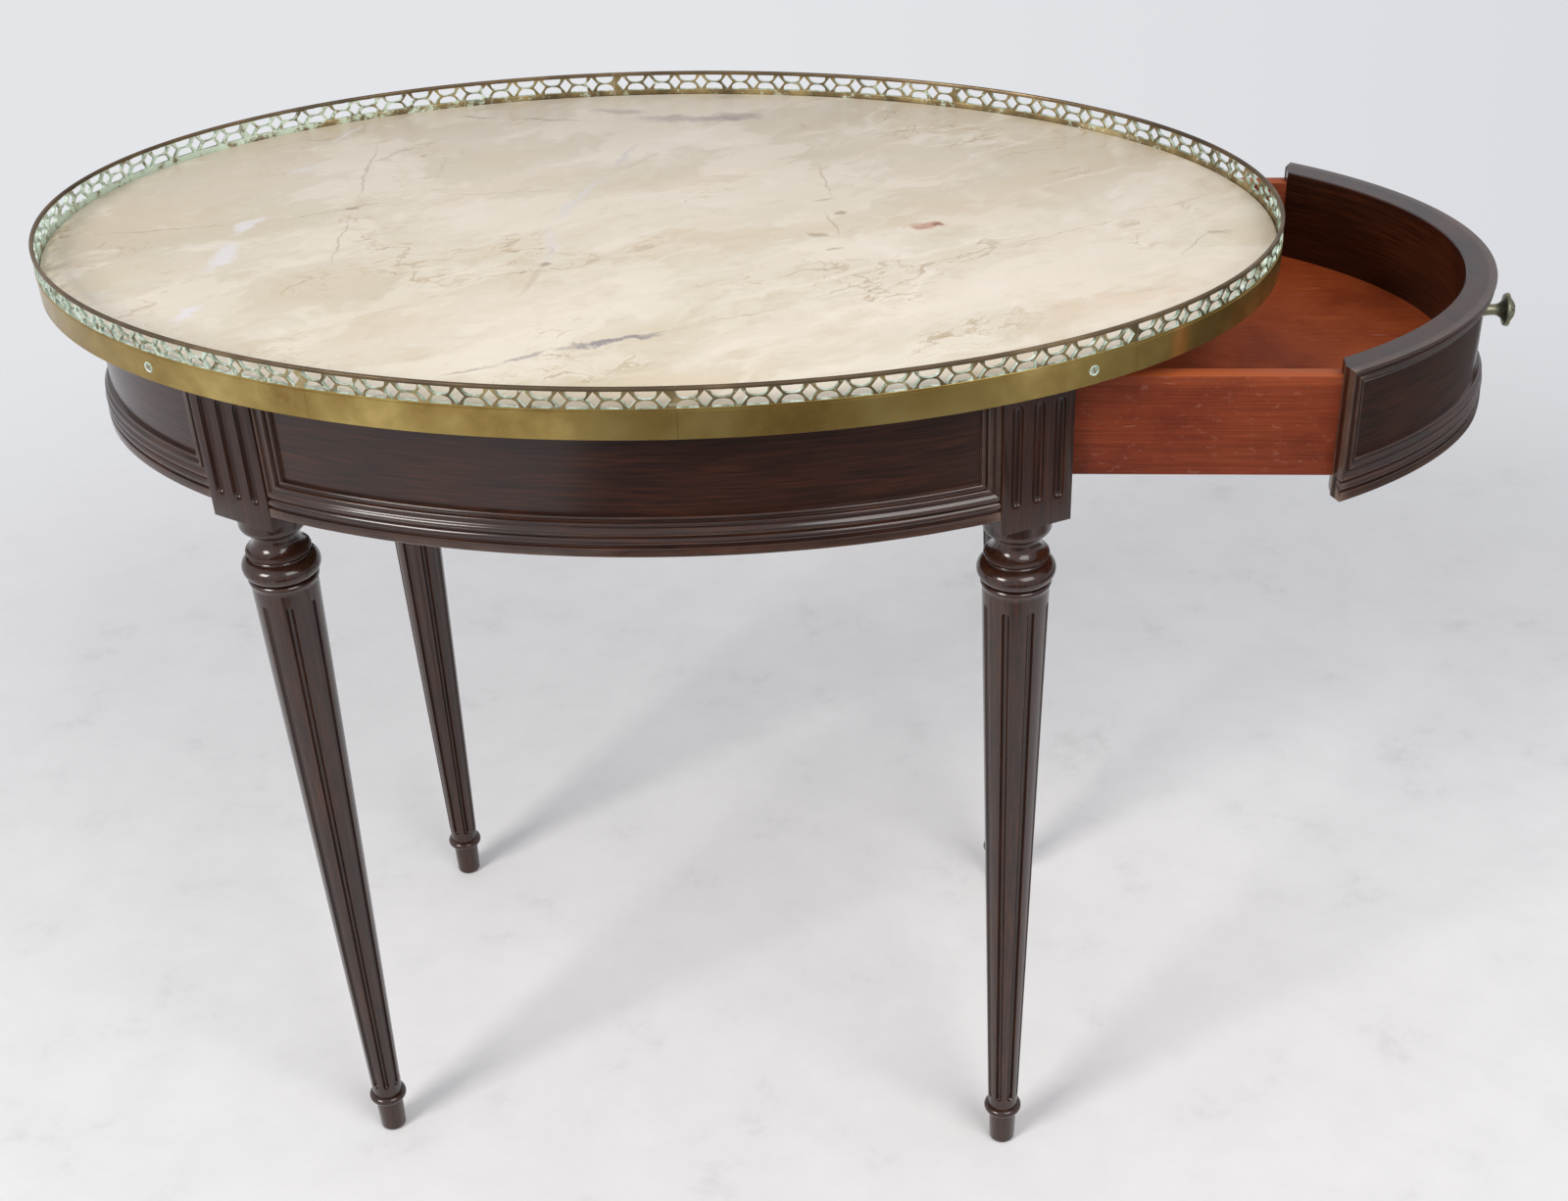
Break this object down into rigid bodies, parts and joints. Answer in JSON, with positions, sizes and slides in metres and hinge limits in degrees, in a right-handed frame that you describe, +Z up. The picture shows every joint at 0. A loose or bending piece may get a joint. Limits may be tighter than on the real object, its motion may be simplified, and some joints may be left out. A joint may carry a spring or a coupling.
{
  "type": "oval occasional table",
  "caption": "Oval table with a marble top in a pierced brass gallery, on fluted turned legs, with a drawer in one end.",
  "frame": {"origin": "on the floor under the middle of the whole table's outline, which runs from the top's left edge to the open drawer's knob", "axes": "+Z up; +X along the oval's length, towards the drawer's end; +Y to the back"},
  "size_m": [1.0787, 0.572, 0.77],
  "materials": {
    "mahogany": "dark brown stained mahogany, semi-gloss polish, worn at the edges",
    "drawer_wood": "orange-red stained wood, thinly varnished, scratched",
    "inner_wood": "bare inner wood, brown with age",
    "marble": "opaque polished marble, cream to peach, clouded, with purple-grey veins",
    "gallery_brass": "aged brass, olive gold and mottled, with verdigris in the piercing",
    "knob_brass": "pale tarnished brass"
  },
  "bodies": {
    "table": {"apron_back": "mahogany", "apron_front": "mahogany", "apron_left": "mahogany", "bead_back_left": "mahogany", "bead_back_right": "mahogany", "bead_front_left": "mahogany", "bead_front_right": "mahogany", "bead_left_back": "mahogany", "bead_left_front": "mahogany", "cross_rail": "inner_wood", "drawer_guide_back": "inner_wood", "drawer_guide_front": "inner_wood", "drawer_kicker_back": "inner_wood", "drawer_kicker_front": "inner_wood", "drawer_runner_back": "inner_wood", "drawer_runner_front": "inner_wood", "end_rail_lower": "inner_wood", "end_rail_upper": "inner_wood", "gallery_strip_1": "gallery_brass", "gallery_strip_2": "gallery_brass", "gallery_strip_3": "gallery_brass", "gallery_strip_4": "gallery_brass", "gallery_strip_5": "gallery_brass", "gallery_strip_6": "gallery_brass", "gallery_strip_7": "gallery_brass", "gallery_strip_8": "gallery_brass", "glue_block_back_left": "inner_wood", "glue_block_back_right": "inner_wood", "glue_block_front_left": "inner_wood", "glue_block_front_right": "inner_wood", "glue_block_left": "inner_wood", "leg_back_left": "mahogany", "leg_back_right": "mahogany", "leg_front_left": "mahogany", "leg_front_right": "mahogany", "marble_top": "marble", "moulding_back": "mahogany", "moulding_front": "mahogany", "moulding_left": "mahogany", "top_board": "inner_wood"},
    "drawer": {"drawer_back": "drawer_wood", "drawer_bead_back": "mahogany", "drawer_bead_front": "mahogany", "drawer_bottom": "drawer_wood", "drawer_front": "mahogany", "drawer_knob": "knob_brass", "drawer_moulding": "mahogany", "drawer_side_back": "drawer_wood", "drawer_side_front": "drawer_wood", "drawer_top_bead": "mahogany"}
  },
  "joints": [
    {"name": "drawer_slide", "type": "slide", "parent": "table", "child": "drawer", "axis": [1, 0, 0], "range_m": [-0.1817, 0.07]}
  ]
}
